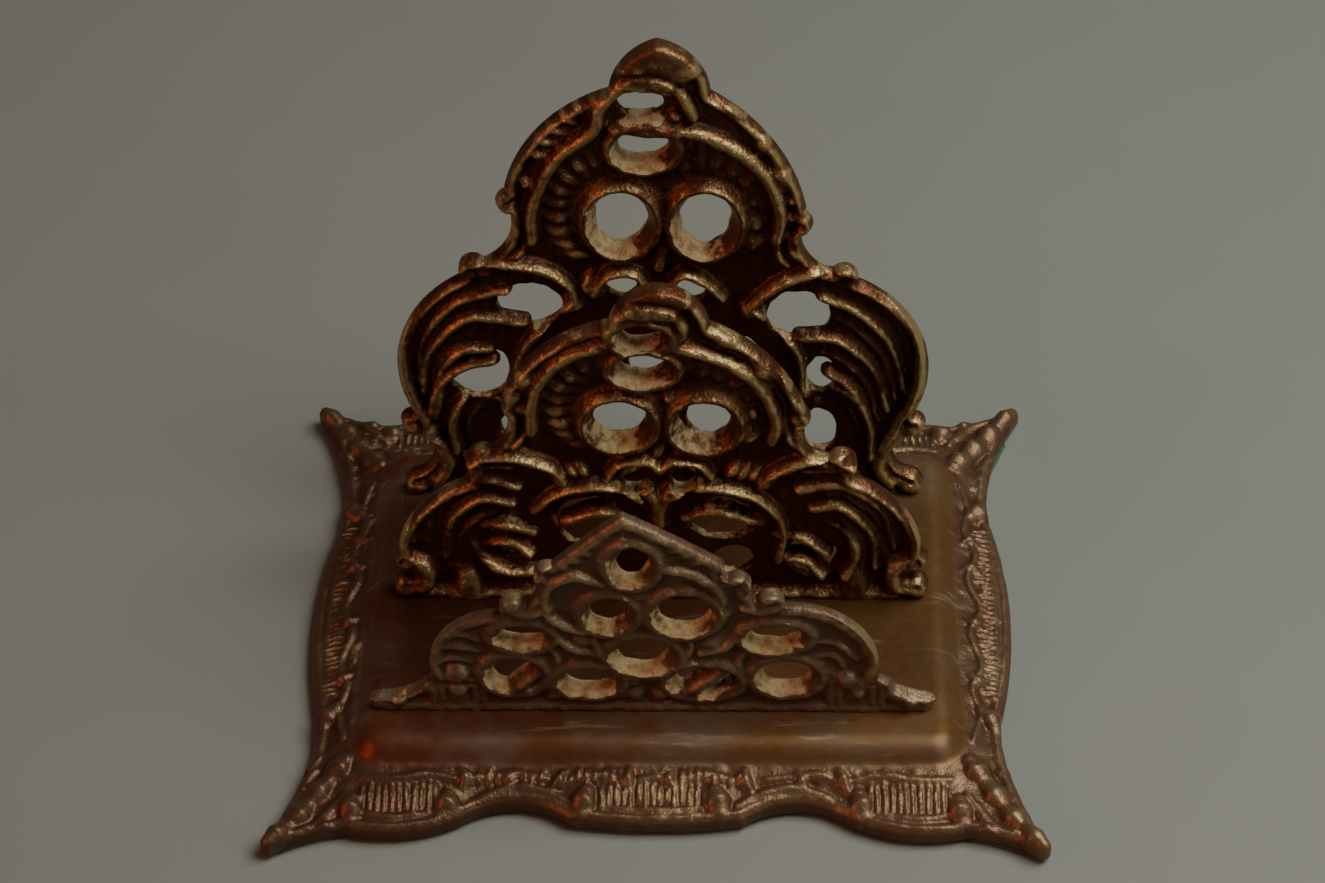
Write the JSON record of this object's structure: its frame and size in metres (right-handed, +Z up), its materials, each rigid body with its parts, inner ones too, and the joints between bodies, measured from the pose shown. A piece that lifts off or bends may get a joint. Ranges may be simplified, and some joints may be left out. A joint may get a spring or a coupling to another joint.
{
  "type": "letter holder",
  "caption": "Desk letter rack of aged cast brass: pierced scrollwork panels stand one behind the other on a cornered base with felt pads.",
  "frame": {"origin": "on the desk, under the middle of the base", "axes": "+Z up, +X along the panels to the right seen from the front, +Y towards the tallest panel; the front faces -Y"},
  "size_m": [0.18, 0.151, 0.1488],
  "materials": {
    "cast_brass": "aged, dark patina with worn edges",
    "screw_brass": "dull turned brass",
    "green_felt": "short-napped felt"
  },
  "bodies": {
    "root": {"base_plate": "cast_brass", "rear_panel": "cast_brass", "middle_panel": "cast_brass", "front_panel": "cast_brass", "rear_panel_screws": "screw_brass", "middle_panel_screws": "screw_brass", "front_panel_screws": "screw_brass", "felt_pad_front_left": "green_felt", "felt_pad_front_right": "green_felt", "felt_pad_rear_left": "green_felt", "felt_pad_rear_right": "green_felt"}
  },
  "joints": []
}
